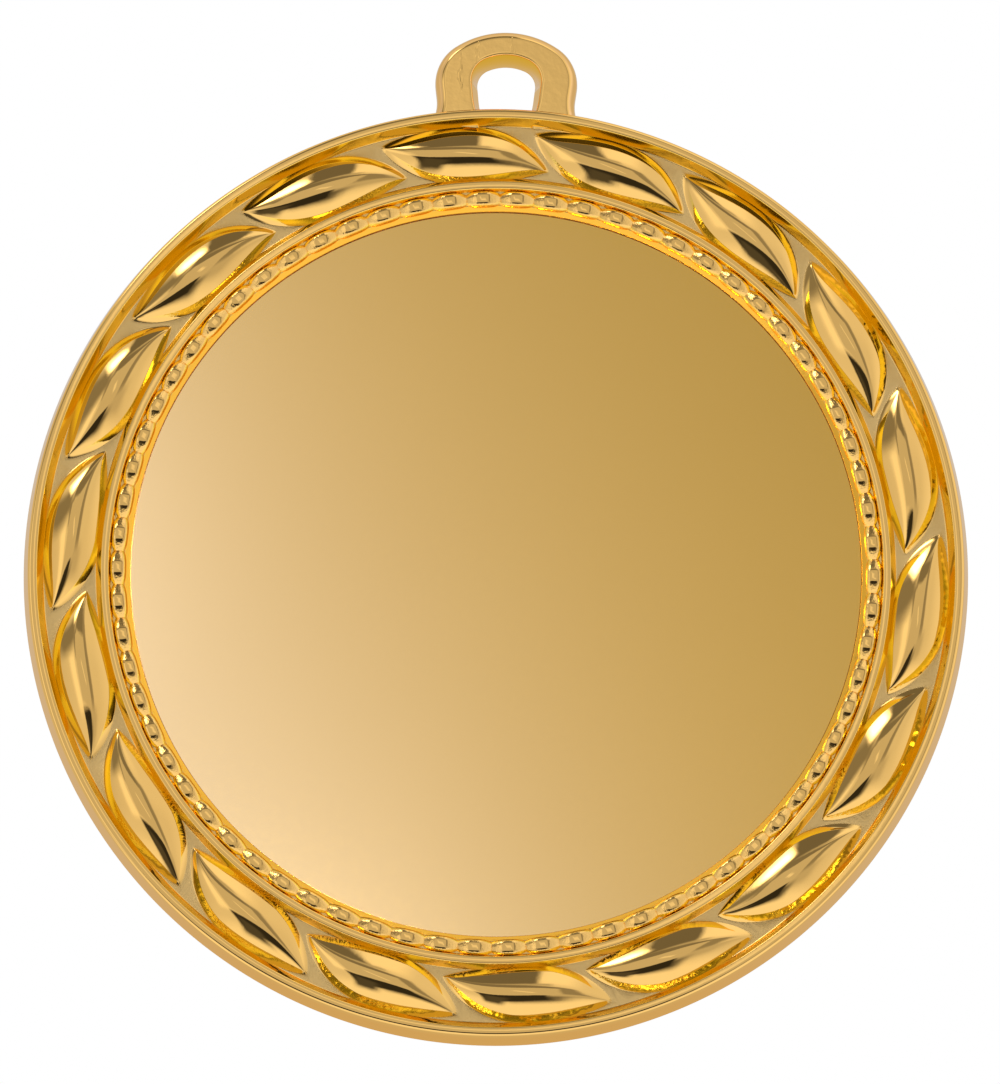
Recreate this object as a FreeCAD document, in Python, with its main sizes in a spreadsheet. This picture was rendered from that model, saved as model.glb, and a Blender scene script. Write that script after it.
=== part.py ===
import FreeCAD, Part
import math
import os
import Sketcher

# Round award medal with a laurel wreath border, a beaded ring, a flat mirror centre and a ribbon loop.
# Every piece is drawn lying on its back: heights run along local +Z from the plane that the medal's
# back rests on, and the ribbon loop points along local +Y. Each piece's Placement then stands it
# upright, so that the finished medal has its loop towards +Z and its face towards -Y.
# The origin is the middle of the recess floor in the back, on the medal's own axis.

DIMENSIONS = [
    # Outer rim of the casting
    ("back_plane", 0.0, "height of the plane that the back rests on"),
    ("parting_radius", 32.5, "widest radius, on the mould's parting line"),
    ("parting_height", 1.1, "height of the parting line above the back"),
    ("back_edge_radius", 31.7, "outer radius of the flat back"),
    ("back_edge_round", 0.6, "rounding where the back meets the side"),
    ("rim_shoulder_radius", 32.1, "outer radius of the rim's top, before rounding"),
    ("rim_shoulder_round", 0.35, "rounding of the rim's outer top edge"),
    ("rim_inner_radius", 31.5, "inner radius of the rim's flat top"),
    ("rim_top", 4.0, "height of the rim's flat top, which is the medal's thickness"),
    ("crest_round", 0.12, "rounding of the rim's inner edge and both edges of the ridge"),
    # Sunk channel that carries the wreath
    ("channel_outer_radius", 31.15, "foot of the rim's inner wall"),
    ("channel_inner_radius", 27.45, "foot of the ridge's outer wall"),
    ("channel_floor", 2.8, "height of the channel's floor"),
    # Plain ridge between the wreath and the beads
    ("ridge_outer_radius", 27.1, "outer radius of the ridge's flat top"),
    ("ridge_inner_radius", 26.6, "inner radius of the ridge's flat top"),
    ("ridge_top", 3.7, "height of the ridge"),
    # Groove for the beads, and the seat for the centre disc
    ("groove_outer_radius", 26.45, "foot of the ridge's inner wall"),
    ("groove_inner_radius", 25.55, "inner edge of the bead groove"),
    ("groove_floor", 3.0, "height of the bead groove's floor"),
    ("seat_mouth_radius", 25.15, "foot of the sloping lip, where the seat's wall starts"),
    ("seat_mouth_height", 2.6, "height of the foot of the sloping lip"),
    ("seat_radius", 25.05, "radius of the seat at its floor"),
    ("seat_floor", 1.05, "height of the seat's floor"),
    # Plain recess in the back
    ("back_recess_radius", 25.6, "radius of the recess floor in the back"),
    ("back_recess_mouth", 25.9, "radius of the recess at the back plane"),
    ("back_recess_depth", 0.3, "depth of the recess in the back"),
    # Laurel leaves
    ("leaf_count", 18, "leaves in the wreath"),
    ("leaf_first_angle", 14.4, "angle from the loop to the middle of the first leaf, degrees"),
    ("leaf_centre_radius", 28.82, "radius at which the middle of a leaf lies"),
    ("leaf_half_length", 5.94, "half of the distance between a leaf's two tips"),
    ("leaf_tilt", 12.5, "turn of a leaf from the tangent towards the centre, degrees"),
    ("leaf_outer_bulge", 2.22, "width of the half of the leaf that faces the rim"),
    ("leaf_inner_bulge", 1.46, "width of the half of the leaf that faces the ridge"),
    ("leaf_root", 2.6, "height at which a leaf starts, a little under the channel's floor"),
    ("leaf_wall_top", 2.98, "height of a leaf's edge at its tips"),
    ("leaf_crown", 3.96, "height of the middle of a leaf"),
    # Beads
    ("bead_count", 70, "beads in the ring"),
    ("bead_first_angle", 2.04, "angle from the loop to the first bead, degrees"),
    ("bead_circle_radius", 25.95, "radius at which the beads lie"),
    ("bead_half_length", 1.02, "half of a bead's length along the ring"),
    ("bead_half_width", 0.55, "half of a bead's width across the ring"),
    ("bead_half_height", 0.65, "half of a bead's full height"),
    ("bead_centre_height", 2.95, "height of a bead's centre"),
    # Ribbon loop
    ("loop_thickness", 3.0, "thickness of the loop, from the back plane"),
    ("loop_waist", 34.3, "distance from the medal's centre to the loop's widest place"),
    ("loop_half_width", 4.91, "half of the loop's widest place"),
    ("loop_crown", 37.88, "distance from the medal's centre to the loop's top"),
    ("loop_side_radius", 3.0, "radius of the loop's outer shoulders"),
    ("loop_foot_half_width", 4.5, "half of the loop's width at its foot"),
    ("loop_foot", 31.25, "distance from the medal's centre to the loop's foot, inside the rim"),
    ("hole_half_width", 2.0, "half of the ribbon hole's widest place"),
    ("hole_crown", 35.67, "distance from the medal's centre to the ribbon hole's top"),
    ("hole_side_radius", 1.2, "radius of the ribbon hole's shoulders"),
    ("hole_foot_half_width", 1.65, "half of the ribbon hole's width at its foot"),
    ("hole_foot", 32.0, "distance from the medal's centre to the ribbon hole's foot, inside the rim"),
    ("loop_edge_round", 0.6, "rounding of the loop's edges"),
    # Centre disc and its adhesive
    ("disc_radius", 25.0, "radius of the mirror disc"),
    ("disc_thickness", 1.2, "thickness of the mirror disc"),
    ("disc_edge_round", 0.15, "rounding of the mirror disc's front edge"),
    ("adhesive_radius", 24.0, "radius of the adhesive pad"),
    ("adhesive_thickness", 0.15, "thickness of the adhesive pad"),
]

# Shares of the full leaf outline along its length and across its width, at its root.
LEAF_ROOT_SHARES = (1.03, 1.05)
# The same two shares at the steps of a leaf's dome, and how far up each lies from the edge at the
# tips to the crown. The dome's edge rises from the tips to the middle, so the first steps hardly
# get narrower.
DOME_STEPS = [(0.93, 0.96, 0.0), (0.82, 0.93, 0.22), (0.71, 0.89, 0.41), (0.53, 0.67, 0.67),
              (0.33, 0.42, 0.89), (0.13, 0.15, 1.0)]
# Places along a leaf's outline, as shares of its half length, that its curve is drawn through.
LEAF_STATIONS = [-1.0, -0.85, -0.5, 0.0, 0.5, 0.85, 1.0]
# The outer edge of a leaf is fullest towards its inner tip, and the inner edge towards its outer tip.
LEAF_OUTER_FULLNESS = (0.9, 0.31)
LEAF_INNER_FULLNESS = (1.08, -0.52)

UPRIGHT = FreeCAD.Rotation(FreeCAD.Vector(1, 0, 0), 90)
MATCH = 1e-4

doc = FreeCAD.newDocument("wreath_medal")


def make_sheet():
    """Put the driving dimensions into a spreadsheet, each under its alias."""
    sheet = doc.addObject("Spreadsheet::Sheet", "dims")
    for row, (alias, value, note) in enumerate(DIMENSIONS, start=1):
        sheet.set("A%d" % row, alias)
        sheet.set("B%d" % row, str(value))
        sheet.set("C%d" % row, note)
        sheet.setAlias("B%d" % row, alias)
    doc.recompute()
    return sheet


sheet = make_sheet()


def size(alias):
    """Current value of a driving dimension."""
    return float(sheet.get(alias))


def new_body(name, height_words="dims.back_plane"):
    """Body drawn lying down from a height above the back plane, and stood upright by its Placement."""
    body = doc.addObject("PartDesign::Body", name)
    body.Label = name
    body.Placement = FreeCAD.Placement(FreeCAD.Vector(0, 0, 0), UPRIGHT)
    body.setExpression("Placement.Base.y", "dims.back_recess_depth - (%s)" % height_words)
    return body


def origin_feature(body, role):
    """One of the body's own origin planes or axes."""
    return next(feature for feature in body.Origin.OriginFeatures if feature.Role == role)


def new_sketch(body, name, role):
    """Empty sketch on one of the body's own origin planes."""
    sketch = body.newObject("Sketcher::SketchObject", name)
    sketch.AttachmentSupport = (origin_feature(body, role), [""])
    sketch.MapMode = "FlatFace"
    return sketch


def bind_coordinate(sketch, kind, geometry, end, alias):
    """Tie one coordinate of a line's or arc's end to a dimension."""
    constraint = sketch.addConstraint(Sketcher.Constraint(kind, -1, 1, geometry, end, size(alias)))
    sketch.setExpression("Constraints[%d]" % constraint, "dims.%s" % alias)


def draw_profile(sketch, corners):
    """Closed outline through (radius, height) corners given as aliases."""
    points = [FreeCAD.Vector(size(radius), size(height), 0) for radius, height in corners]
    count = len(points)
    for index in range(count):
        sketch.addGeometry(Part.LineSegment(points[index], points[(index + 1) % count]))
    for index in range(count):
        sketch.addConstraint(Sketcher.Constraint("Coincident", index, 2, (index + 1) % count, 1))
    for index, (radius, height) in enumerate(corners):
        bind_coordinate(sketch, "DistanceX", index, 1, radius)
        bind_coordinate(sketch, "DistanceY", index, 1, height)


def circle_edges(feature, places):
    """Names of the full circles of a turned feature at the given (radius, height) aliases."""
    wanted = [(size(radius), size(height)) for radius, height in places]
    names = []
    for number, edge in enumerate(feature.Shape.Edges, start=1):
        if not isinstance(edge.Curve, Part.Circle):
            continue
        radius = edge.Curve.Radius
        height = edge.Curve.Center.z
        if any(abs(radius - r) < MATCH and abs(height - z) < MATCH for r, z in wanted):
            names.append("Edge%d" % number)
    return names


def add_round(body, base, edges, alias, name):
    """Round the named edges of a feature with a radius from the sheet."""
    fillet = body.newObject("PartDesign::Fillet", name)
    fillet.Base = (base, edges)
    fillet.Radius = size(alias)
    fillet.setExpression("Radius", "dims.%s" % alias)
    doc.recompute()
    return fillet


def make_turned_blank(body):
    """Turned ring: rim, channel, ridge, bead groove, wall of the disc's seat and edge of the back recess."""
    sketch = new_sketch(body, "blank_profile", "XZ_Plane")
    bottom = [("seat_radius", "back_recess_depth"),
              ("back_recess_radius", "back_recess_depth"),
              ("back_recess_mouth", "back_plane"),
              ("back_edge_radius", "back_plane")]
    rim = [("parting_radius", "parting_height"),
           ("rim_shoulder_radius", "rim_top"),
           ("rim_inner_radius", "rim_top")]
    channel = [("channel_outer_radius", "channel_floor"),
               ("channel_inner_radius", "channel_floor")]
    ridge = [("ridge_outer_radius", "ridge_top"),
             ("ridge_inner_radius", "ridge_top")]
    seat = [("groove_outer_radius", "groove_floor"),
            ("groove_inner_radius", "groove_floor"),
            ("seat_mouth_radius", "seat_mouth_height"),
            ("seat_radius", "seat_floor")]
    draw_profile(sketch, bottom + rim + channel + ridge + seat)
    blank = body.newObject("PartDesign::Revolution", "turned_blank")
    blank.Profile = sketch
    blank.ReferenceAxis = (sketch, ["V_Axis"])
    blank.Angle = 360
    doc.recompute()
    back = circle_edges(blank, [("back_edge_radius", "back_plane")])
    blank = add_round(body, blank, back, "back_edge_round", "back_edge_rounding")
    shoulder = circle_edges(blank, [("rim_shoulder_radius", "rim_top")])
    blank = add_round(body, blank, shoulder, "rim_shoulder_round", "rim_shoulder_rounding")
    crests = circle_edges(blank, [("rim_inner_radius", "rim_top"),
                                  ("ridge_outer_radius", "ridge_top"),
                                  ("ridge_inner_radius", "ridge_top")])
    return add_round(body, blank, crests, "crest_round", "crest_rounding")


def leaf_point(share, along, across, fullness, bulge):
    """Point of a leaf's outline: share runs from -1 at its outer tip to 1 at its inner tip."""
    power, skew = fullness
    width = bulge * (1 - share * share) ** power * (1 + skew * share)
    tilt = math.radians(size("leaf_tilt"))
    x = share * size("leaf_half_length") * along
    y = width * across
    turned_x = x * math.cos(tilt) + y * math.sin(tilt)
    turned_y = y * math.cos(tilt) - x * math.sin(tilt)
    return FreeCAD.Vector(turned_x, turned_y + size("leaf_centre_radius"), 0)


def leaf_edge(along, across, fullness, bulge):
    """Smooth curve along one side of a leaf, from tip to tip."""
    curve = Part.BSplineCurve()
    curve.interpolate([leaf_point(share, along, across, fullness, bulge) for share in LEAF_STATIONS])
    return curve


def leaf_section(body, name, along, across, height_words):
    """Leaf outline, shrunk by the two shares, at a height above the back plane."""
    sketch = new_sketch(body, name, "XY_Plane")
    turn = FreeCAD.Rotation(FreeCAD.Vector(0, 0, 1), -size("leaf_first_angle"))
    sketch.AttachmentOffset = FreeCAD.Placement(FreeCAD.Vector(0, 0, 0), turn)
    sketch.setExpression("AttachmentOffset.Base.z", height_words)
    sketch.addGeometry(leaf_edge(along, across, LEAF_OUTER_FULLNESS, size("leaf_outer_bulge")))
    sketch.addGeometry(leaf_edge(along, across, LEAF_INNER_FULLNESS, -size("leaf_inner_bulge")))
    return sketch


def add_loft(body, name, sections, ruled):
    """Solid through the sections, in order."""
    loft = body.newObject("PartDesign::AdditiveLoft", name)
    loft.Profile = sections[0]
    loft.Sections = sections[1:]
    loft.Ruled = ruled
    doc.recompute()
    return loft


def add_ring(body, name, originals, count_alias):
    """Repeat features evenly round the medal's axis."""
    ring = body.newObject("PartDesign::PolarPattern", name)
    ring.Originals = originals
    ring.Axis = (origin_feature(body, "Z_Axis"), [""])
    ring.Angle = 360
    ring.Occurrences = int(size(count_alias))
    ring.setExpression("Occurrences", "dims.%s" % count_alias)
    body.Tip = ring
    doc.recompute()
    return ring


def make_wreath(body):
    """Leaves that each lie slanting in the channel: a steep side wall under a domed top."""
    dome_rise = "(dims.leaf_crown - dims.leaf_wall_top)"
    root = leaf_section(body, "leaf_root_outline", *LEAF_ROOT_SHARES, "dims.leaf_root")
    dome = [leaf_section(body, "leaf_dome_outline_%d" % step, along, across,
                         "dims.leaf_wall_top + %s * %g" % (dome_rise, rise))
            for step, (along, across, rise) in enumerate(DOME_STEPS)]
    wall = add_loft(body, "leaf_wall", [root, dome[0]], True)
    crown = add_loft(body, "leaf_dome", dome, True)
    return add_ring(body, "wreath", [wall, crown], "leaf_count")


def make_beads(body):
    """Long low beads, end to end, in the groove."""
    bead = body.newObject("PartDesign::AdditiveEllipsoid", "bead")
    bead.AttachmentSupport = (origin_feature(body, "XY_Plane"), [""])
    bead.MapMode = "FlatFace"
    angle = math.radians(size("bead_first_angle"))
    circle = size("bead_circle_radius")
    place = FreeCAD.Vector(circle * math.sin(angle), circle * math.cos(angle), size("bead_centre_height"))
    turn = FreeCAD.Rotation(FreeCAD.Vector(0, 0, 1), -size("bead_first_angle"))
    bead.AttachmentOffset = FreeCAD.Placement(place, turn)
    bead.setExpression("AttachmentOffset.Base.z", "dims.bead_centre_height")
    bead.setExpression("Radius1", "dims.bead_half_height")
    bead.setExpression("Radius2", "dims.bead_half_length")
    bead.setExpression("Radius3", "dims.bead_half_width")
    doc.recompute()
    return add_ring(body, "bead_ring", [bead], "bead_count")


def horseshoe(sketch, half_width, crown, waist, side_radius, foot_half_width, foot):
    """Smooth outline with a crown arc, two shoulders and two straight legs; sizes are aliases."""
    level = size(waist)
    shoulder = size(side_radius)
    side = size(half_width) - shoulder
    rise = size(crown) - level
    crown_radius = (rise * rise + side * side - shoulder * shoulder) / (2 * (rise - shoulder))
    join = math.acos(side / (crown_radius - shoulder))
    foot_x = size(foot_half_width)
    drop = math.atan2(size(foot) - level, foot_x - side)
    leg = drop + math.acos(shoulder / math.hypot(foot_x - side, size(foot) - level))
    leg_x = side + shoulder * math.cos(leg)
    leg_y = level + shoulder * math.sin(leg)
    up = FreeCAD.Vector(0, 0, 1)

    def arc(x, y, radius, start, stop):
        return Part.ArcOfCircle(Part.Circle(FreeCAD.Vector(x, y, 0), up, radius), start, stop)

    right_foot = FreeCAD.Vector(foot_x, size(foot), 0)
    left_foot = FreeCAD.Vector(-foot_x, size(foot), 0)
    first = sketch.GeometryCount
    top, right, left, right_leg, base, left_leg = range(first, first + 6)
    sketch.addGeometry(arc(0, size(crown) - crown_radius, crown_radius, join, math.pi - join))
    sketch.addGeometry(arc(side, level, shoulder, leg, join))
    sketch.addGeometry(arc(-side, level, shoulder, math.pi - join, math.pi - leg))
    sketch.addGeometry(Part.LineSegment(FreeCAD.Vector(leg_x, leg_y, 0), right_foot))
    sketch.addGeometry(Part.LineSegment(right_foot, left_foot))
    sketch.addGeometry(Part.LineSegment(left_foot, FreeCAD.Vector(-leg_x, leg_y, 0)))
    sketch.addConstraint(Sketcher.Constraint("PointOnObject", top, 3, -2))
    sketch.addConstraint(Sketcher.Constraint("Tangent", top, 1, right, 2))
    sketch.addConstraint(Sketcher.Constraint("Tangent", top, 2, left, 1))
    sketch.addConstraint(Sketcher.Constraint("Tangent", right, 1, right_leg, 1))
    sketch.addConstraint(Sketcher.Constraint("Tangent", left, 2, left_leg, 2))
    sketch.addConstraint(Sketcher.Constraint("Coincident", right_leg, 2, base, 1))
    sketch.addConstraint(Sketcher.Constraint("Coincident", base, 2, left_leg, 1))
    sketch.addConstraint(Sketcher.Constraint("Symmetric", right_leg, 2, left_leg, 1, -2))
    sketch.addConstraint(Sketcher.Constraint("Equal", right, left))
    sketch.addConstraint(Sketcher.Constraint("Horizontal", right, 3, left, 3))
    bind_coordinate(sketch, "DistanceY", right, 3, waist)
    bind_coordinate(sketch, "DistanceX", right_leg, 2, foot_half_width)
    bind_coordinate(sketch, "DistanceY", right_leg, 2, foot)
    shoulder_size = sketch.addConstraint(Sketcher.Constraint("Radius", right, shoulder))
    sketch.setExpression("Constraints[%d]" % shoulder_size, "dims.%s" % side_radius)
    side_place = sketch.addConstraint(Sketcher.Constraint("DistanceX", -1, 1, right, 3, side))
    side_words = "(dims.%s - dims.%s)" % (half_width, side_radius)
    sketch.setExpression("Constraints[%d]" % side_place, side_words)
    crown_size = sketch.addConstraint(Sketcher.Constraint("Radius", top, crown_radius))
    rise_words = "(dims.%s - dims.%s)" % (crown, waist)
    sketch.setExpression("Constraints[%d]" % crown_size,
                         "(%s^2 + %s^2 - dims.%s^2) / (2 * (%s - dims.%s))"
                         % (rise_words, side_words, side_radius, rise_words, side_radius))


def outline_edges(feature, height_alias):
    """Names of a flat feature's edges at one height, without straight edges that run along X."""
    height = size(height_alias)
    names = []
    for number, edge in enumerate(feature.Shape.Edges, start=1):
        box = edge.BoundBox
        level = abs(box.ZMin - height) < MATCH and abs(box.ZMax - height) < MATCH
        if level and box.YLength > MATCH:
            names.append("Edge%d" % number)
    return names


def make_loop(body):
    """Horseshoe loop whose feet run on into the rim, with a hole for the ribbon's ring."""
    sketch = new_sketch(body, "loop_outline", "XY_Plane")
    horseshoe(sketch, "loop_half_width", "loop_crown", "loop_waist", "loop_side_radius",
              "loop_foot_half_width", "loop_foot")
    horseshoe(sketch, "hole_half_width", "hole_crown", "loop_waist", "hole_side_radius",
              "hole_foot_half_width", "hole_foot")
    pad = body.newObject("PartDesign::Pad", "loop_plate")
    pad.Profile = sketch
    pad.setExpression("Length", "dims.loop_thickness")
    doc.recompute()
    edges = outline_edges(pad, "loop_thickness") + outline_edges(pad, "back_plane")
    return add_round(body, pad, edges, "loop_edge_round", "loop_rounding")


def make_round_plate(name, radius_alias, thickness_words, height_words):
    """Flat round plate whose lower face lies at a height above the back plane."""
    body = new_body(name, height_words)
    sketch = new_sketch(body, name + "_outline", "XY_Plane")
    centre = FreeCAD.Vector(0, 0, 0)
    sketch.addGeometry(Part.Circle(centre, FreeCAD.Vector(0, 0, 1), size(radius_alias)))
    sketch.addConstraint(Sketcher.Constraint("Coincident", 0, 3, -1, 1))
    round_size = sketch.addConstraint(Sketcher.Constraint("Radius", 0, size(radius_alias)))
    sketch.setExpression("Constraints[%d]" % round_size, "dims.%s" % radius_alias)
    plate = body.newObject("PartDesign::Pad", name + "_plate")
    plate.Profile = sketch
    plate.setExpression("Length", thickness_words)
    doc.recompute()
    return body


def make_casting():
    """The casting in the three pieces that it divides into: wreath ring, back plate and ribbon loop.

    The plate fills the ring's bore, and the loop is trimmed to meet the outside of the rim.
    """
    wreath_ring = new_body("wreath_ring")
    make_turned_blank(wreath_ring)
    make_wreath(wreath_ring)
    make_beads(wreath_ring)
    back_plate = make_round_plate("back_plate", "seat_radius",
                                  "dims.seat_floor - dims.back_recess_depth", "dims.back_recess_depth")
    loop_blank = new_body("loop_blank")
    make_loop(loop_blank)
    ribbon_loop = doc.addObject("Part::Cut", "ribbon_loop")
    ribbon_loop.Label = "ribbon_loop"
    ribbon_loop.Base = loop_blank
    ribbon_loop.Tool = wreath_ring
    ribbon_loop.Refine = True
    doc.recompute()
    return [wreath_ring, back_plate, ribbon_loop]


def make_centre():
    """Mirror disc in its seat, on the adhesive pad that holds it."""
    pad = make_round_plate("adhesive_pad", "adhesive_radius", "dims.adhesive_thickness", "dims.seat_floor")
    disc = make_round_plate("centre_disc", "disc_radius", "dims.disc_thickness",
                            "dims.seat_floor + dims.adhesive_thickness")
    front = outline_edges(disc.Tip, "disc_thickness")
    add_round(disc, disc.Tip, front, "disc_edge_round", "disc_edge_rounding")
    return [pad, disc]


def check_document(nodes):
    """Stop if anything in the document failed, or a piece is not one sound solid."""
    for item in doc.Objects:
        if "Invalid" in item.State or "Error" in item.State:
            raise RuntimeError("%s is in state %s" % (item.Label, item.State))
    for node in nodes:
        if node.Shape.isNull() or not node.Shape.isValid():
            raise RuntimeError("%s has no sound shape" % node.Label)
        if len(node.Shape.Solids) != 1:
            raise RuntimeError("%s is %d solids" % (node.Label, len(node.Shape.Solids)))


def export(nodes):
    """Write each piece to its own file and print what it measures."""
    os.makedirs("parts", exist_ok=True)
    for node in nodes:
        box = node.Shape.optimalBoundingBox()
        print("%-14s volume %9.2f mm3, X %.2f %.2f, Y %.2f %.2f, Z %.2f %.2f"
              % (node.Label, node.Shape.Volume, box.XMin, box.XMax, box.YMin, box.YMax, box.ZMin, box.ZMax))
        node.Shape.exportStep("parts/%s.step" % node.Label)


pieces = make_casting() + make_centre()
doc.recompute()
check_document(pieces)
export(pieces)
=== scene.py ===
import math

import bmesh
import bpy
import numpy as np
from mathutils import Matrix, Vector


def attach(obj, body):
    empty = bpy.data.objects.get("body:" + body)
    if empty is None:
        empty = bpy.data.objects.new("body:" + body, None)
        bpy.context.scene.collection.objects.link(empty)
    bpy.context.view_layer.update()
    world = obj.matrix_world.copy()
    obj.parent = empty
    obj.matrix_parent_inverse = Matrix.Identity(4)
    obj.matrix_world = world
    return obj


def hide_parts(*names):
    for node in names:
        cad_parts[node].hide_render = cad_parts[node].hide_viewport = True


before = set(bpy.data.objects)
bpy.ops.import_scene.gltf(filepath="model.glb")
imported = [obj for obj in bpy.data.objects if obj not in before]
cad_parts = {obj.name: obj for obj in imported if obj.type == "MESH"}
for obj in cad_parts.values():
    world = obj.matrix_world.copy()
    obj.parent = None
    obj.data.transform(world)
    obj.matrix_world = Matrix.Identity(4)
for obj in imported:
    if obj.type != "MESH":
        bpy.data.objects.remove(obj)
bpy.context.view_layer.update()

# A gold award medal: wreath ring with leaves and beads, back plate, ribbon loop, mirror disc.
# Shapes are worked out in millimetres as (radius, angle clockwise from the loop, height above the
# plane that the back rests on) and turned into the frame's metres by place() and place_flat().

MM = 0.001
BACK_RECESS_DEPTH = 0.3
MERGE_DISTANCE = 2e-7
SHARP_ANGLE = 38
NORMAL_WEIGHT = 60

# Turned ring: corners as radius, height and rounding.
RING_CORNERS = [
    (25.05, 0.30, 0.0),     # bore, at the floor of the back's recess
    (25.60, 0.30, 0.06),    # outer edge of that floor
    (25.90, 0.0, 0.10),     # mouth of the back's recess
    (31.70, 0.0, 0.60),     # outer edge of the flat back
    (32.50, 1.10, 0.30),    # widest place
    (32.10, 4.00, 0.26),    # rim's top, outer edge
    (31.50, 4.00, 0.12),    # rim's top, inner edge
    (31.10, 2.80, 0.14),    # channel's floor, by the rim
    (27.45, 2.80, 0.12),    # channel's floor, by the ridge
    (27.10, 3.70, 0.12),    # ridge's top, outer edge
    (26.60, 3.70, 0.12),    # ridge's top, inner edge
    (26.48, 3.14, 0.06),    # ridge's foot, by the beads
    (25.50, 3.02, 0.08),    # lip's top
    (25.14, 2.74, 0.04),    # lip's foot
    (25.05, 1.05, 0.0),     # bore, below the disc
]
RING_SEGMENTS = 360
CHANNEL_FLOOR = 2.8
CORNER_STEPS = 4

LEAF_COUNT = 18
LEAF_FIRST_ANGLE = 14.4
LEAF_CENTRE_RADIUS = 28.82
LEAF_TILT = 12.5
LEAF_HALF_LENGTH = 5.94
LEAF_DOME_LENGTH = 5.6
LEAF_TIP_HEIGHT = 2.91
LEAF_ROWS = 40
LEAF_COLUMNS = 22
LEAF_COLUMN_SPACING = 1.3
LEAF_BLUNTNESS = 8
# A leaf's sides towards the rim and towards the ridge: greatest width, fullness and skew.
LEAF_OUTER_SIDE = (2.22, 0.9, 0.31)
LEAF_INNER_SIDE = (1.46, 1.08, -0.52)
# The dome's edge lies this far inside those sides, and the wall's foot this far outside them.
LEAF_OUTER_INSET = 0.27
LEAF_INNER_INSET = 0.18
LEAF_OUTER_SPREAD = 0.17
LEAF_INNER_SPREAD = 0.26
# Dome: a crest that widens along the leaf, on an arch from tip to tip and a swell between them.
LEAF_CREST_WIDTH = 0.60
LEAF_CREST_WIDENING = 0.25
LEAF_ARCH_HEIGHT = 0.40
LEAF_ARCH_FULLNESS = 0.6
LEAF_ARCH_SLOPE = 0.07
LEAF_SWELL_HEIGHT = 0.62
LEAF_SWELL_FULLNESS = 1.4
# Side wall's rows: shares of the way inwards and upwards from its foot to the dome's edge.
LEAF_WALL_STEPS = [(0.94, 0.93), (0.80, 0.74), (0.45, 0.38), (0.12, 0.10)]
# The wall's last rows lie inside the ring: depths under the channel's floor, and their flare.
LEAF_ROOT_DEPTHS = [0.01, 0.3]
LEAF_ROOT_FLARE = 0.05

BEAD_COUNT = 70
BEAD_FIRST_ANGLE = 2.04
BEAD_RADIUS = 25.95
BEAD_STEPS = 18
BEAD_COLUMNS = 14
BEAD_TOP = 3.60
BEAD_SPRING = 2.95
BEAD_ROOT = 2.7
BEAD_FLAT_SHARE = 0.24
BEAD_SADDLE_DEPTH = 0.36
BEAD_SADDLE_POWER = 1.5
BEAD_HALF_WIDTH = 0.57
BEAD_PINCH = 0.17
BEAD_PINCH_POWER = 3
BEAD_SQUARENESS = 3.8
BEAD_SQUARENESS_LOSS = 1.6

# Ribbon loop: half width, crown, shoulder radius, half width at the foot and flare there.
LOOP_OUTSIDE = (4.91, 37.88, 3.0, 4.5, 0.35)
LOOP_HOLE = (2.0, 35.67, 1.2, 1.65, -0.25)
LOOP_WAIST = 34.3
LOOP_FOOT = 31.0
LOOP_FLARE_TOP = 33.2
LOOP_FLARE_HEIGHT = 1.4
LOOP_SECTIONS = 96
LOOP_THICKNESS = 3.0
# Rounded edges of the loop's section: inset, its reach, middle height and rise.
LOOP_OUTER_BACK = (0.0, 0.5, 0.7, 0.7)
LOOP_OUTER_FRONT = (0.0, 0.62, 1.1, 1.9)
LOOP_HOLE_FRONT = (0.40, 0.15, 2.85, 0.15)
LOOP_HOLE_BACK = (0.0, 0.20, 0.20, 0.20)
# The loop's flat face: insets of its edges from the outside and from the hole.
LOOP_FACE_INSETS = (0.70, 0.63)

DISC_RADIUS = 25.11
DISC_BACK = 1.2
DISC_BACK_INSET = 0.1
DISC_FRONT = 2.40
DISC_BEVEL = 0.02
DISC_SEGMENTS = 256

CAMERA_BELOW = 8.1
CAMERA_ROLL = 1.2
CAMERA_DISTANCE = 0.9
CAMERA_SENSOR = 36
FRAME_WIDTH = 68.8 * MM
# Point that the camera looks at: height, and offsets to the right and upwards in its own view.
AIM_HEIGHT = 1.1
AIM_RIGHT = 0.28
AIM_UP = 2.34

FLOOR_HALF_SIDE = 6
FLOOR_LEVEL = -0.25
LAMP_SIZE = 0.02

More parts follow.
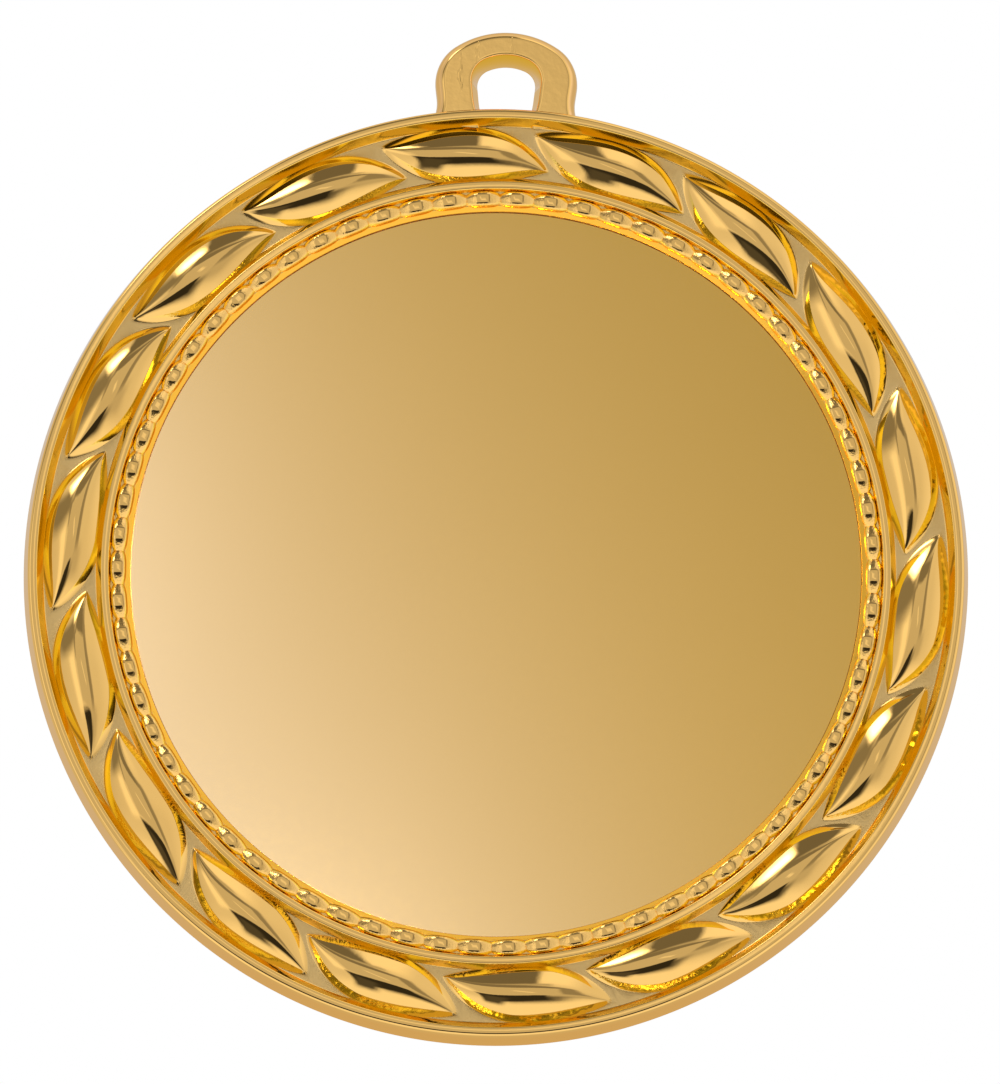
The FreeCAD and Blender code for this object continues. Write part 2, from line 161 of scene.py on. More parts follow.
# Studio cards: across, above, turn, half width, half height, softness (degrees), light.
STUDIO_CARDS = [
    (20, 24, 0, 24, 22, 6, 0.80),           # large pale card, upper right
    (9, 27, -12, 6, 9, 4, 1.05),            # bright card, top
    (26, -2, 0, 17, 12, 5, 0.74),           # grey card, right
    (40, 0, 0, 12, 30, 6, 0.95),            # tall pale card, far right
    (-26, -4, 0, 12, 9, 4, 0.74),           # grey card, left
    (-42, 0, 0, 12, 30, 6, 0.62),           # tall grey card, far left
    (0, -34, 0, 42, 13, 4, 1.02),           # wide bright card, below
    (-20, -5, 10, 3.5, 8, 2, 1.05),         # bright strip, left
    (-24, 10.5, 20, 8.5, 5.5, 3, 0.25),     # dark card, upper left
    (-4.5, 24, 0, 7.5, 9, 1.3, 0.17),       # dark gap, top
    (-2, 16, 5, 9, 1.6, 1.5, 0.50),         # grey strip under that gap
    (-16.5, 19.5, 35, 4.4, 2.5, 2.2, 6.0),  # white softbox, upper left
    (-1, 12, -12, 13, 3.2, 1.2, 0.22),      # dark strip, above the middle
    (-13.5, 7, 20, 3, 4.5, 1.5, 0.28),      # dark card, left of the middle
    (11.8, 1, 6, 3.0, 12, 1.5, 0.30),       # dark strip, right of the middle
    (12, -12, 0, 8, 5, 3, 0.55),            # grey card, lower right
    (3, -18, 0, 8, 5, 3, 0.15),             # dark card, below the middle
    (-4, -16, 8, 11, 5.6, 1.2, 0.03),       # black card, below the middle
    (-10, -20, -15, 4, 5, 2, 0.08),         # black card, lower left
    (-2.5, 0, 0, 11.5, 10, 0.8, 0.60),      # grey card, straight ahead
    (-0.3, -0.3, -45, 4, 0.8, 0.8, 0.92),   # thin pale strip across that card
]
# Light where there is no card, near and far, and the tilts between which it changes.
NEAR_LIGHT = 0.78
FAR_LIGHT = 0.64
FAR_TILTS = (56, 66)


def place(radius, angle, height):
    """Frame position, in metres, of points given as radius, clockwise angle in degrees and height."""
    turn = np.radians(angle)
    return place_flat(radius * np.sin(turn), radius * np.cos(turn), height)


def place_flat(x, up, height):
    """Frame position, in metres, of points given across, up and by height."""
    return np.stack(np.broadcast_arrays(x, BACK_RECESS_DEPTH - height, up), axis=-1) * MM


def new_object(name, points, faces):
    """Mesh object from points and faces, with its normals turned outwards."""
    mesh = bpy.data.meshes.new(name)
    mesh.from_pydata([tuple(p) for p in points], [], faces)
    work = bmesh.new()
    work.from_mesh(mesh)
    bmesh.ops.remove_doubles(work, verts=work.verts, dist=MERGE_DISTANCE)
    bmesh.ops.recalc_face_normals(work, faces=work.faces)
    work.to_mesh(mesh)
    work.free()
    mesh.update()
    piece = bpy.data.objects.new(name, mesh)
    bpy.context.scene.collection.objects.link(piece)
    return piece


def strip_faces(rows, columns, wrap_rows=False, wrap_columns=False):
    """Quads of a grid of points numbered row by row."""
    faces = []
    for i in range(rows if wrap_rows else rows - 1):
        for j in range(columns if wrap_columns else columns - 1):
            a = i * columns + j
            b = i * columns + (j + 1) % columns
            c = ((i + 1) % rows) * columns + (j + 1) % columns
            d = ((i + 1) % rows) * columns + j
            faces.append((a, b, c, d))
    return faces


def rounded(corners):
    """Closed outline through the corners, each replaced by an arc of its own rounding."""
    count = len(corners)
    outline = []
    for index, (radius, height, rounding) in enumerate(corners):
        here = np.array([radius, height])
        if not rounding:
            outline.append(here)
            continue
        before = np.array(corners[index - 1][:2]) - here
        after = np.array(corners[(index + 1) % count][:2]) - here
        before = before / np.linalg.norm(before)
        after = after / np.linalg.norm(after)
        half = math.acos(np.clip(before @ after, -1, 1)) / 2
        reach = rounding / math.tan(half)
        middle = here + (before + after) / np.linalg.norm(before + after) * rounding / math.sin(half)
        first = here + before * reach - middle
        last = here + after * reach - middle
        sweep = math.atan2(first[0] * last[1] - first[1] * last[0], first @ last)
        for step in range(CORNER_STEPS + 1):
            turn = sweep * step / CORNER_STEPS
            c, s = math.cos(turn), math.sin(turn)
            outline.append(middle + np.array([c * first[0] - s * first[1], s * first[0] + c * first[1]]))
    return np.array(outline)


def turned(outline, segments, closed):
    """Points and faces of an outline turned round the medal's axis."""
    angle = np.arange(segments)[:, None] * 360.0 / segments
    points = place(outline[None, :, 0], angle, outline[None, :, 1]).reshape(-1, 3)
    return points, strip_faces(segments, len(outline), True, closed)


def ring_mesh():
    """Points and faces of the turned ring."""
    return turned(rounded(RING_CORNERS), RING_SEGMENTS, True)


def disc_mesh():
    """Points and faces of the mirror disc: flat, with a rounded edge."""
    edge = DISC_RADIUS - DISC_BEVEL
    shoulder = DISC_FRONT - DISC_BEVEL
    outline = [(0.0, DISC_BACK), (DISC_RADIUS - DISC_BACK_INSET, DISC_BACK), (DISC_RADIUS, shoulder)]
    for turn in np.linspace(0, math.pi / 2, 5)[1:]:
        outline.append((edge + DISC_BEVEL * math.cos(turn), shoulder + DISC_BEVEL * math.sin(turn)))
    outline.append((0.0, DISC_FRONT))
    return turned(np.array(outline), DISC_SEGMENTS, False)


def leaf_width(share, side):
    """Width of one side of a leaf at a share of its half length."""
    widest, fullness, skew = side
    return widest * np.maximum(1 - share * share, 0.0) ** fullness * (1 + skew * share)


def leaf_dome(share, outer, inner):
    """Grid of points of a leaf's domed top between its two edges."""
    across = np.sin(np.linspace(-math.pi / 2, math.pi / 2, LEAF_COLUMNS + 1))[None, :]
    across = np.sign(across) * np.abs(across) ** LEAF_COLUMN_SPACING
    crest = (LEAF_CREST_WIDTH + LEAF_CREST_WIDENING * share)[:, None]
    roof = (np.hypot(1, crest) - np.hypot(across, crest)) / (np.hypot(1, crest) - crest)
    middle = ((outer - inner) / 2)[:, None]
    half = ((outer + inner) / 2)[:, None]
    full = (1 - share ** 2)[:, None]
    arch = LEAF_ARCH_HEIGHT * full ** LEAF_ARCH_FULLNESS + LEAF_ARCH_SLOPE * share[:, None]
    swell = LEAF_SWELL_HEIGHT * full ** LEAF_SWELL_FULLNESS * roof
    along = share[:, None] * LEAF_DOME_LENGTH
    height = LEAF_TIP_HEIGHT + arch + swell
    return np.stack(np.broadcast_arrays(along, middle + half * across, height), -1)


def leaf_points():
    """Points of one leaf: dome grid first, then the rows of its side wall from the top down."""
    share = -np.cos(np.linspace(0, math.pi, LEAF_ROWS))
    outer = leaf_width(share, LEAF_OUTER_SIDE)
    inner = leaf_width(share, LEAF_INNER_SIDE)
    blunt = 1 - share ** LEAF_BLUNTNESS
    dome = leaf_dome(share, np.maximum(outer - LEAF_OUTER_INSET * blunt, 0),
                     np.maximum(inner - LEAF_INNER_INSET * blunt, 0))
    top_edge = np.concatenate([dome[:, -1], dome[-2:0:-1, 0]])
    foot_outer = outer + LEAF_OUTER_SPREAD * blunt
    foot_inner = inner + LEAF_INNER_SPREAD * blunt
    foot_along = np.concatenate([share, share[-2:0:-1]]) * LEAF_HALF_LENGTH
    foot = np.stack([foot_along, np.concatenate([foot_outer, -foot_inner[-2:0:-1]])], -1)
    ahead = np.roll(foot, -1, 0) - np.roll(foot, 1, 0)
    outward = np.stack([-ahead[:, 1], ahead[:, 0]], -1)
    outward /= np.linalg.norm(outward, axis=1)[:, None]
    rows = []
    for inwards, upwards in LEAF_WALL_STEPS:
        flat = foot + (top_edge[:, :2] - foot) * inwards
        rows.append(np.column_stack([flat, CHANNEL_FLOOR + (top_edge[:, 2] - CHANNEL_FLOOR) * upwards]))
    for depth in LEAF_ROOT_DEPTHS:
        height = np.full(len(foot), CHANNEL_FLOOR - depth)
        rows.append(np.column_stack([foot + outward * LEAF_ROOT_FLARE, height]))
    return dome, rows


def leaf_mesh(numbers):
    """Points and faces of the leaves with the given numbers."""
    dome, rows = leaf_points()
    grid_rows, grid_columns = dome.shape[:2]
    local = np.concatenate([dome.reshape(-1, 3)] + rows)
    edge = [i * grid_columns + grid_columns - 1 for i in range(grid_rows)]
    edge += [i * grid_columns for i in range(grid_rows - 2, 0, -1)]
    around = len(edge)
    base = grid_rows * grid_columns
    faces = strip_faces(grid_rows, grid_columns)
    loops = [edge] + [list(range(base + r * around, base + (r + 1) * around)) for r in range(len(rows))]
    for upper, lower in zip(loops, loops[1:]):
        for j in range(around):
            k = (j + 1) % around
            faces.append((upper[j], upper[k], lower[k], lower[j]))
    faces.append(tuple(loops[-1]))
    tilt = math.radians(LEAF_TILT)
    x = local[:, 0] * math.cos(tilt) + local[:, 1] * math.sin(tilt)
    up = local[:, 1] * math.cos(tilt) - local[:, 0] * math.sin(tilt) + LEAF_CENTRE_RADIUS
    all_points, all_faces = [], []
    for number in numbers:
        turn = math.radians(LEAF_FIRST_ANGLE + 360.0 / LEAF_COUNT * number)
        c, s = math.cos(turn), math.sin(turn)
        offset = len(all_points) * len(local)
        all_points.append(place_flat(x * c + up * s, up * c - x * s, local[:, 2]))
        all_faces += [tuple(offset + v for v in face) for face in faces]
    return np.concatenate(all_points), all_faces


def bead_mesh():
    """Points and faces of the ring of beads: one moulding that swells and pinches."""
    steps = BEAD_COUNT * BEAD_STEPS
    half_beads = (np.arange(steps) % BEAD_STEPS) / BEAD_STEPS * 2
    away = np.minimum(half_beads, 2 - half_beads)
    fall = np.clip((away - BEAD_FLAT_SHARE) / (1 - BEAD_FLAT_SHARE), 0, 1)
    top = BEAD_TOP - BEAD_SADDLE_DEPTH * fall ** BEAD_SADDLE_POWER
    half_width = BEAD_HALF_WIDTH - BEAD_PINCH * away ** BEAD_PINCH_POWER
    across = np.sin(np.linspace(-math.pi / 2, math.pi / 2, BEAD_COLUMNS + 1))
    power = (BEAD_SQUARENESS - BEAD_SQUARENESS_LOSS * fall)[:, None]
    lift = np.maximum(1 - np.abs(across[None, :]) ** power, 0) ** (1 / power)
    angle = (BEAD_FIRST_ANGLE + np.arange(steps) * 360.0 / steps)[:, None]
    radius = BEAD_RADIUS + half_width[:, None] * across[None, :]
    upper = place(radius, angle, BEAD_SPRING + (top[:, None] - BEAD_SPRING) * lift)
    lower = place(np.stack([BEAD_RADIUS + half_width, BEAD_RADIUS - half_width], -1), angle, BEAD_ROOT)
    ring = np.concatenate([upper, lower], 1)
    return ring.reshape(-1, 3), strip_faces(steps, ring.shape[1], True, True)


def horseshoe_line(half_width, crown, shoulder, foot_half_width, flare):
    """Points from the right foot over the crown to the left foot, evenly shared over the pieces."""
    side = half_width - shoulder
    rise = crown - LOOP_WAIST
    crown_radius = (rise * rise + side * side - shoulder * shoulder) / (2 * (rise - shoulder))
    join = math.acos(side / (crown_radius - shoulder))
    distance = math.hypot(foot_half_width - side, LOOP_FOOT - LOOP_WAIST)
    leg = math.atan2(LOOP_FOOT - LOOP_WAIST, foot_half_width - side) + math.acos(shoulder / distance)
    quarter = LOOP_SECTIONS // 8
    points = []
    leg_end = np.array([side + shoulder * math.cos(leg), LOOP_WAIST + shoulder * math.sin(leg)])
    foot_end = np.array([foot_half_width, LOOP_FOOT])
    for step in range(quarter):
        points.append(foot_end + (leg_end - foot_end) * step / quarter)
    for step in range(quarter * 2):
        turn = leg + (join - leg) * step / (quarter * 2)
        points.append(np.array([side + shoulder * math.cos(turn),
                                LOOP_WAIST + shoulder * math.sin(turn)]))
    for step in range(quarter + 1):
        turn = join + (math.pi / 2 - join) * step / quarter
        points.append(np.array([crown_radius * math.cos(turn),
                                crown - crown_radius + crown_radius * math.sin(turn)]))
    right = np.array(points)
    right[:, 0] += flare * np.clip((LOOP_FLARE_TOP - right[:, 1]) / LOOP_FLARE_HEIGHT, 0, 1) ** 2
    left = right[::-1][1:] * np.array([-1, 1])
    return np.concatenate([right, left])


def outward_normals(line):
    """Unit normals of an open line that runs anticlockwise."""
    ahead = np.gradient(line, axis=0)
    normal = np.stack([ahead[:, 1], -ahead[:, 0]], -1)
    return normal / np.linalg.norm(normal, axis=1)[:, None]


def loop_mesh():
    """Points and faces of the ribbon loop: sections swept from foot to foot."""
    outer = horseshoe_line(*LOOP_OUTSIDE)
    hole = horseshoe_line(*LOOP_HOLE)
    outside = (outer, outward_normals(outer))
    by_hole = (hole, -outward_normals(hole))
    rows = []

    def add(side, inset, height):
        line, out = side
        moved = line - out * inset
        rows.append(place_flat(moved[:, 0], moved[:, 1], height))

    def add_edge(side, edge, start, stop, count):
        inset, reach, middle, rise = edge
        for turn in np.linspace(start, stop, count):
            add(side, inset + reach * (1 - math.cos(turn)), middle + rise * math.sin(turn))

    quarter = math.pi / 2
    add_edge(outside, LOOP_OUTER_BACK, -quarter, 0, 5)
    add_edge(outside, LOOP_OUTER_FRONT, 0, quarter, 10)
    for side, inset in zip((outside, by_hole), LOOP_FACE_INSETS):
        add(side, inset, LOOP_THICKNESS)
    add_edge(by_hole, LOOP_HOLE_FRONT, quarter, 0, 5)
    add_edge(by_hole, LOOP_HOLE_BACK, 0, -quarter, 5)
    grid = np.stack(rows, 1)
    sections, columns = grid.shape[:2]
    faces = strip_faces(sections, columns, False, True)
    faces.append(tuple(range(columns)))
    faces.append(tuple(range((sections - 1) * columns, sections * columns)))
    return grid.reshape(-1, 3), faces


def combine(piece, other, operation):
    """Join another closed mesh to a piece, or cut it away, and drop the other."""
    change = piece.modifiers.new("combine", "BOOLEAN")
    change.operation = operation
    change.solver = "MANIFOLD"
    change.object = other
    apply_modifiers(piece)
    bpy.data.objects.remove(other)


def apply_modifiers(piece):
    """Replace a piece's mesh by what its modifiers make of it."""
    graph = bpy.context.evaluated_depsgraph_get()
    made = bpy.data.meshes.new_from_object(piece.evaluated_get(graph))
    piece.modifiers.clear()
    old = piece.data
    piece.data = made
    bpy.data.meshes.remove(old)


def set_material(piece, material):
    """Give a piece one material."""
    piece.data.materials.clear()
    piece.data.materials.append(material)


def finish_surface(piece, material):
    """Smooth shading with sharp edges where the surface turns, and the piece's material."""
    mesh = piece.data
    mesh.shade_smooth()
    mesh.set_sharp_from_angle(angle=math.radians(SHARP_ANGLE))
    weighted = piece.modifiers.new("weighted", "WEIGHTED_NORMAL")
    weighted.keep_sharp = True
    weighted.weight = NORMAL_WEIGHT
    apply_modifiers(piece)
    set_material(piece, material)


# Materials

class Graph:
    """Short calls for building a node tree."""

    def __init__(self, tree):
        self.tree = tree
        self.tree.nodes.clear()

    def node(self, kind, inputs=None, **settings):
        """New node; an input is either another node's output or a value."""
        item = self.tree.nodes.new(kind)
        for key, value in settings.items():
            setattr(item, key, value)
        for key, value in (inputs or {}).items():
            if isinstance(value, bpy.types.NodeSocket):
                self.tree.links.new(value, item.inputs[key])
            else:
                item.inputs[key].default_value = value
        return item

    def math(self, operation, *values):
        """One operation on numbers."""
        return self.node("ShaderNodeMath", dict(enumerate(values)), operation=operation).outputs[0]

    def product(self, first, *others):
        """All the factors multiplied together."""
        for other in others:
            first = self.math("MULTIPLY", first, other)
        return first

    def vector(self, operation, a, b):
        """One operation on two vectors that gives a vector."""
        return self.node("ShaderNodeVectorMath", {0: a, 1: b}, operation=operation).outputs[0]

    def dot(self, a, b):
        """Dot product of two vectors."""
        item = self.node("ShaderNodeVectorMath", {0: a, 1: b}, operation="DOT_PRODUCT")
        return item.outputs["Value"]

    def ramp(self, value, low, high, start=0.0, end=1.0):
        """Smooth change from start to end while the value goes from low to high."""
        item = self.node("ShaderNodeMapRange", {0: value, 1: low, 2: high, 3: start, 4: end},
                         interpolation_type="SMOOTHSTEP")
        return item.outputs[0]

    def band(self, value, first, last):
        """One between two soft limits, each given as a pair, and zero outside them."""
        return self.product(self.ramp(value, *first), self.ramp(value, *last, 1, 0))

    def blend(self, factor, a, b):
        """Number between a and b."""
        return self.node("ShaderNodeMix", {0: factor, 2: a, 3: b}).outputs[0]

    def mix(self, factor, a, b):
        """Colour between a and b."""
        return self.node("ShaderNodeMix", {0: factor, 6: a, 7: b}, data_type="RGBA").outputs[2]

    def noise(self, vector, scale, detail=2.0, roughness=0.5):
        """Cloudy noise."""
        item = self.node("ShaderNodeTexNoise", {"Vector": vector, "Scale": scale, "Detail": detail,
                                                "Roughness": roughness})
        return item.outputs[0]

    def bump(self, height, strength, depth, under=None):
        """Normal of a relief of the given depth in metres, on top of another one."""
        inputs = {"Height": height, "Strength": strength, "Distance": depth}
        if under:
            inputs["Normal"] = under
        return self.node("ShaderNodeBump", inputs).outputs[0]

    def surface(self, inputs):
        """Principled shader with the given inputs, as the material's surface."""
        shader = self.node("ShaderNodeBsdfPrincipled", inputs)
        self.node("ShaderNodeOutputMaterial", {0: shader.outputs[0]})


def new_material(name):
    """Empty material and the calls that fill it."""
    material = bpy.data.materials.new(name)
    material.use_nodes = True
    return material, Graph(material.node_tree)


def medal_zones(g, spot, normal):
    """Parts of the casting, each a factor from zero to one. Their limits are in metres."""
    x, y, z = g.node("ShaderNodeSeparateXYZ", {0: spot}).outputs
    radius = g.math("SQRT", g.math("ADD", g.math("MULTIPLY", x, x), g.math("MULTIPLY", z, z)))
    facing = g.math("ABSOLUTE", g.dot(normal, (0, 1, 0)))
    steep = g.ramp(facing, 0.70, 0.84, 1, 0)
    on_loop = g.ramp(radius, 0.03252, 0.03256)
    in_channel = g.band(radius, (0.02740, 0.02746), (0.03109, 0.03115))
    at_floor = g.band(y, (-0.00256, -0.00252), (-0.0015, -0.0014))
    on_side = g.band(radius, (0.03205, 0.03225), (0.03252, 0.03256))
    on_rim_wall = g.band(radius, (0.03110, 0.03116), (0.03140, 0.03148))
    on_beads = g.band(radius, (0.02528, 0.02536), (0.02652, 0.02656))
    from_hole = g.vector("SUBTRACT", spot, (0, 0, 0.0341))
    return {
        "floor": g.product(in_channel, at_floor, g.ramp(facing, 0.90, 0.98)),
        # wall: steep walls, whose yellower tint is a painted reflection
        "wall": g.product(steep, g.ramp(radius, 0.03155, 0.03165, 1, 0)),
        # rough_wall: bumped lower walls; the bumps are relief, their paler tint is a painted highlight
        # that whitens the bright spots on them
        "rough_wall": g.product(steep, 0.75, g.ramp(g.noise(spot, 420), 0.35, 0.58),
                                g.ramp(g.dot(normal, (0, 0, -1)), 0.15, 0.50),
                                g.ramp(radius, 0.03098, 0.03106, 1, 0)),
        "rim_wall": g.product(on_rim_wall, g.ramp(facing, 0.45, 0.60, 1, 0),
                              g.ramp(g.noise(spot, 150), 0.35, 0.60, 0.25, 1.0),
                              g.ramp(g.math("SUBTRACT", x, z), -0.015, 0.020)),
        "side": g.product(on_side, steep),
        # side_reflection_rise: height ramp of the side's painted reflection, oranger below and paler above
        "side_reflection_rise": g.ramp(z, -0.031, -0.018),
        # lip: inner slope by the disc, given a darker orange as painted shade
        "lip": g.product(g.ramp(radius, 0.02546, 0.02554, 1, 0), g.ramp(y, -0.0020, -0.0018, 1, 0)),
        "beads": g.product(on_beads, g.ramp(facing, 0.93, 0.98, 1, 0)),
        "loop_edge": g.product(on_loop, steep),
        "loop_outside": g.ramp(g.dot(from_hole, normal), -0.0002, 0.0002),
        "loop_face": g.product(on_loop, g.ramp(facing, 0.90, 0.97, 0.0, 0.5)),
    }


def gold_plating():
    """Bright gold plating and a satin channel floor, with painted light in its colours: yellower walls and
    paler bumped lower walls as painted reflections and highlights, a side oranger below and paler above as
    painted reflection, a darker orange lip as painted shade, and loop edges tinted as painted reflection.
    """
    material, g = new_material("gold_plating")
    spot = g.node("ShaderNodeTexCoord").outputs["Object"]
    normal = g.node("ShaderNodeNewGeometry").outputs["Normal"]
    zones = medal_zones(g, spot, normal)

    # Painted reflection on the side: oranger low down, paler higher up.
    side_painted_reflection = g.mix(zones["side_reflection_rise"], (1.0, 0.53, 0.12, 1), (1.0, 0.61, 0.28, 1))
    # Painted reflection on the loop's edges: deeper orange in the hole, paler on the outside.
    loop_painted_reflection = g.mix(zones["loop_outside"], (1.0, 0.57, 0.04, 1), (0.98, 0.60, 0.24, 1))
    colour = g.mix(g.noise(spot, 260, 3, 0.6), (1.0, 0.600, 0.175, 1), (1.0, 0.630, 0.200, 1))
    # Painted light in the plating's colour: walls, bumped lower walls, side, lip and loop edges are tinted
    # for their reflections, highlights and shade; the satin floor's paler colour is its finish.
    for zone, tint in (("wall", (1.0, 0.715, 0.110, 1)), ("rough_wall", (1.0, 0.67, 0.22, 1)),
                       ("side", side_painted_reflection), ("lip", (1.0, 0.53, 0.06, 1)),
                       ("loop_edge", loop_painted_reflection), ("floor", (1.0, 0.68, 0.27, 1))):
        colour = g.mix(zones[zone], colour, tint)

    rough = g.ramp(g.noise(spot, 900, 4, 0.6), 0.35, 0.75, 0.02, 0.055)
    for zone, roughness in (("floor", 0.37), ("wall", 0.13), ("beads", 0.10)):
        rough = g.blend(zones[zone], rough, roughness)

    scratches = g.ramp(g.noise(g.vector("MULTIPLY", spot, (1.0, 1.0, 0.3)), 900, 3, 0.6), 0.60, 0.66)
    relief = g.bump(g.noise(spot, 1500, 2, 0.5), 0.25, 0.00001)
    relief = g.bump(g.noise(spot, 5200, 2, 0.5), zones["rough_wall"], 0.00006, relief)
    relief = g.bump(g.noise(spot, 1500, 1, 0.4), zones["rim_wall"], 0.00013, relief)
    relief = g.bump(scratches, zones["loop_face"], 0.00003, relief)
    relief = g.bump(g.noise(spot, 6500, 2, 0.6), g.product(zones["beads"], 0.5), 0.00004, relief)
    relief = g.bump(g.noise(spot, 16000, 2, 0.6), g.product(zones["floor"], 0.5), 0.00003, relief)

    g.surface({"Base Color": colour, "Metallic": 1.0, "Roughness": rough,
               "Specular Tint": (1.0, 0.84, 0.55, 1), "Normal": relief})
    return material


def mirror_gold():
    """Polished gold anodised sheet under a thin clear film that scatters a little light."""
    material, g = new_material("mirror_gold")
    spot = g.node("ShaderNodeTexCoord").outputs["Object"]
    colour = g.mix(g.noise(spot, 60, 3, 0.6), (0.63, 0.345, 0.008, 1), (0.65, 0.360, 0.014, 1))
    rough = g.ramp(g.noise(spot, 2600, 3, 0.7), 0.3, 0.8, 0.11, 0.13)
    relief = g.bump(g.noise(spot, 400, 2), 0.05, 0.00001)
    g.surface({"Base Color": colour, "Metallic": 1.0, "Roughness": rough, "Coat Weight": 1.0,
               "Coat Roughness": 0.47, "Normal": relief})
    return material


def adhesive():
    """Cloudy acrylic adhesive film."""
    material, g = new_material("adhesive")
    spot = g.node("ShaderNodeTexCoord").outputs["Object"]
    cloud = g.noise(spot, 500, 4, 0.7)
    colour = g.mix(cloud, (0.78, 0.77, 0.74, 1), (0.88, 0.88, 0.86, 1))
    g.surface({"Base Color": colour, "Roughness": 0.55, "Normal": g.bump(cloud, 0.3, 0.00005)})
    return material


def pale_floor():
    """Matt pale floor of the studio."""
    material, g = new_material("pale_floor")
    g.surface({"Base Color": (0.9, 0.9, 0.9, 1), "Roughness": 0.9})
    return material


# Pieces

gold = gold_plating()

ring = new_object("gold_wreath_ring", *ring_mesh())
loop = new_object("gold_ribbon_loop", *loop_mesh())
combine(loop, new_object("cutter", *ring_mesh()), "DIFFERENCE")
# Leaves are joined to the ring in two rounds, every other leaf at a time.
for first in (0, 1):
    leaves = new_object("leaves", *leaf_mesh(range(first, LEAF_COUNT, 2)))
    combine(ring, leaves, "UNION")
combine(ring, new_object("beads", *bead_mesh()), "UNION")
for piece, node in ((ring, "wreath_ring"), (loop, "ribbon_loop")):
    finish_surface(piece, gold)
    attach(piece, "root")
    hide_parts(node)

disc = new_object("mirror_disc", *disc_mesh())
finish_surface(disc, mirror_gold())
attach(disc, "root")
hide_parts("centre_disc")

set_material(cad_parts["back_plate"], gold)
set_material(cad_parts["adhesive_pad"], adhesive())


# Stage

def add_floor():
    """Large floor below the medal, left out of all reflections."""
    side, level = FLOOR_HALF_SIDE, FLOOR_LEVEL
    corners = [(-side, -side, level), (side, -side, level), (side, side, level), (-side, side, level)]
    mesh = bpy.data.meshes.new("floor")
    mesh.from_pydata(corners, [], [(0, 1, 2, 3)])
    mesh.materials.append(pale_floor())
    floor = bpy.data.objects.new("floor", mesh)
    bpy.context.scene.collection.objects.link(floor)
    floor.visible_glossy = False


def card_mask(g, across, above, card):
    """One on a card and zero off it, with soft edges."""
    card_across, card_above, turn, half_width, half_height, soft, _ = card
    c, s = math.cos(math.radians(turn)), math.sin(math.radians(turn))
    dx = g.math("SUBTRACT", across, card_across)
    dy = g.math("SUBTRACT", above, card_above)
    along = g.math("ADD", g.math("MULTIPLY", dx, c), g.math("MULTIPLY", dy, s))
    over = g.math("SUBTRACT", g.math("MULTIPLY", dy, c), g.math("MULTIPLY", dx, s))
    edges = [g.ramp(g.math("ABSOLUTE", offset), half - soft, half + soft, 1, 0)
             for offset, half in ((along, half_width), (over, half_height))]
    return g.product(*edges)


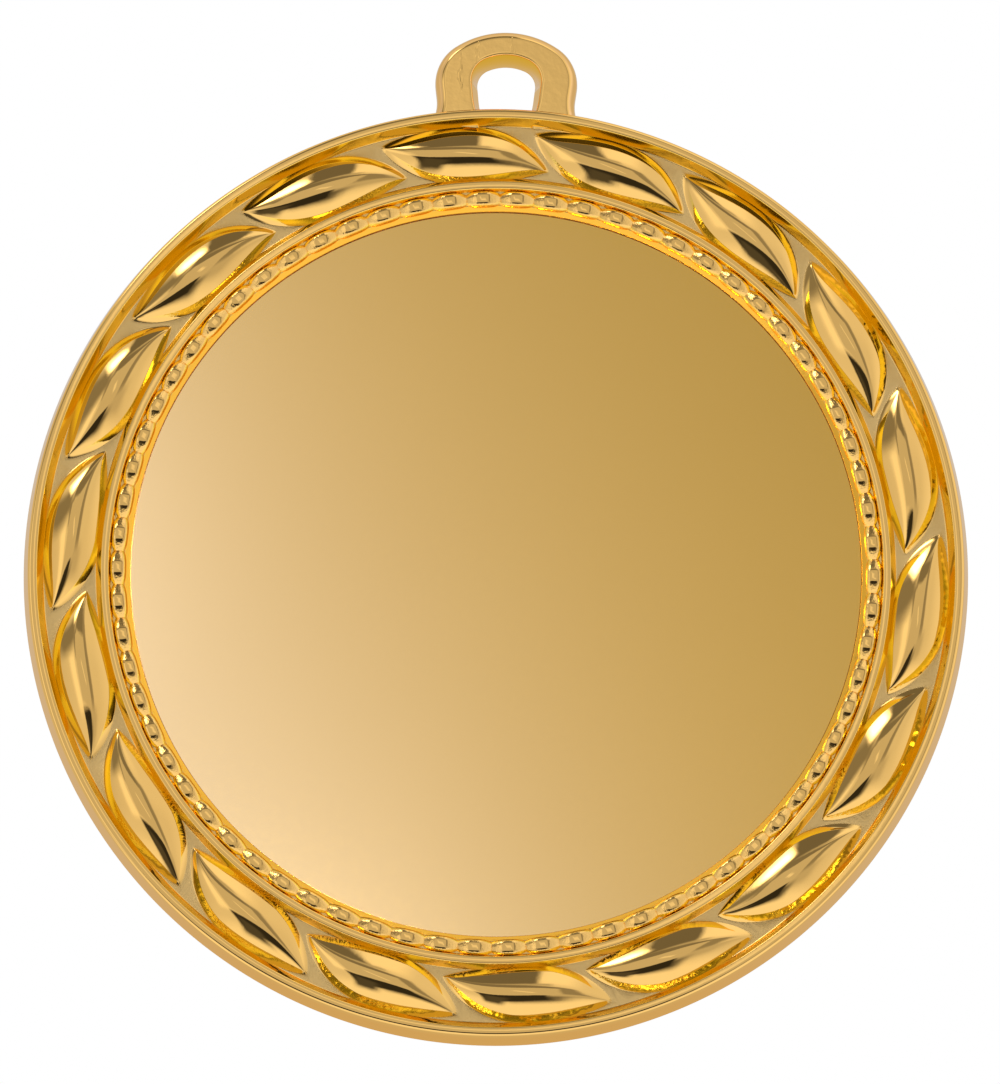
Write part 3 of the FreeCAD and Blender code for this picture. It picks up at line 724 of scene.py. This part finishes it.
def studio():
    """Surroundings as soft cards of light and shade. The camera itself sees plain white.

    A card's place is given by the tilt, in degrees to the right and upwards, at which a mirror
    lying on the medal's face would show it to the main view's camera.
    """
    world = bpy.data.worlds.new("studio")
    bpy.context.scene.world = world
    world.use_nodes = True
    g = Graph(world.node_tree)
    look = g.node("ShaderNodeTexCoord").outputs["Generated"]
    below = math.radians(CAMERA_BELOW)
    ahead = Vector((0, -math.cos(below), math.sin(below)))
    right = Vector((1, 0, 0))
    up = ahead.cross(right).normalized()
    forward = g.dot(look, ahead)
    sine_squared = g.math("SUBTRACT", 1.0, g.math("MULTIPLY", forward, forward))
    sine = g.math("SQRT", g.math("MAXIMUM", sine_squared, 1e-6))
    tilt = g.math("MULTIPLY", g.math("ARCTAN2", sine, forward), 90 / math.pi)
    share = g.math("DIVIDE", tilt, sine)
    across = g.math("MULTIPLY", g.dot(look, right), share)
    above = g.math("MULTIPLY", g.dot(look, up), share)
    light = g.mix(g.ramp(tilt, *FAR_TILTS), (*[NEAR_LIGHT] * 3, 1), (*[FAR_LIGHT] * 3, 1))
    for card in STUDIO_CARDS:
        light = g.mix(card_mask(g, across, above, card), light, (*[card[-1]] * 3, 1))
    background = g.node("ShaderNodeBackground", {"Color": light, "Strength": 1.0})
    seen_directly = g.node("ShaderNodeLightPath").outputs["Is Camera Ray"]
    white = g.node("ShaderNodeBackground", {"Color": (1, 1, 1, 1), "Strength": 1.0})
    both = g.node("ShaderNodeMixShader", {0: seen_directly, 1: background.outputs[0], 2: white.outputs[0]})
    g.node("ShaderNodeOutputWorld", {0: both.outputs[0]})


def side_lamp(name, receiver, spot, energy):
    """Small white lamp, aimed at the medal's centre, that lights the receiver alone."""
    light = bpy.data.lights.new(name, "AREA")
    light.shape = "DISK"
    light.size = LAMP_SIZE
    light.energy = energy
    lamp = bpy.data.objects.new(name, light)
    bpy.context.scene.collection.objects.link(lamp)
    turn = (-Vector(spot)).to_track_quat("-Z", "Y").to_matrix().to_4x4()
    lamp.matrix_world = Matrix.Translation(spot) @ turn
    lamp.visible_camera = False
    lit = bpy.data.collections.new(name + "_lights")
    lit.objects.link(receiver)
    lamp.light_linking.receiver_collection = lit
    lamp.light_linking.blocker_collection = lit


def add_camera():
    """Camera of the main view: a little below the medal's axis and slightly rolled."""
    data = bpy.data.cameras.new("camera")
    camera = bpy.data.objects.new("camera", data)
    bpy.context.scene.collection.objects.link(camera)
    below = math.radians(CAMERA_BELOW)
    towards = Vector((0, math.cos(below), math.sin(below)))
    level_up = Vector((0, -math.sin(below), math.cos(below)))
    roll = Matrix.Rotation(math.radians(-CAMERA_ROLL), 3, towards)
    right, up = roll @ Vector((1, 0, 0)), roll @ level_up
    aim = Vector(place_flat(0.0, 0.0, AIM_HEIGHT)) + right * AIM_RIGHT * MM + up * AIM_UP * MM
    rotation = Matrix((right, up, -towards)).transposed().to_4x4()
    camera.matrix_world = Matrix.Translation(aim - towards * CAMERA_DISTANCE) @ rotation
    data.sensor_fit = "HORIZONTAL"
    data.sensor_width = CAMERA_SENSOR
    data.lens = CAMERA_SENSOR * CAMERA_DISTANCE / FRAME_WIDTH
    data.clip_start = 0.01
    bpy.context.scene.camera = camera


add_floor()
studio()
side_lamp("left_lamp", disc, (-0.061, -0.075, 0.010), 0.295)
side_lamp("low_lamp", disc, (-0.022, -0.078, -0.036), 0.155)
bpy.context.scene.view_settings.view_transform = "Standard"
add_camera()
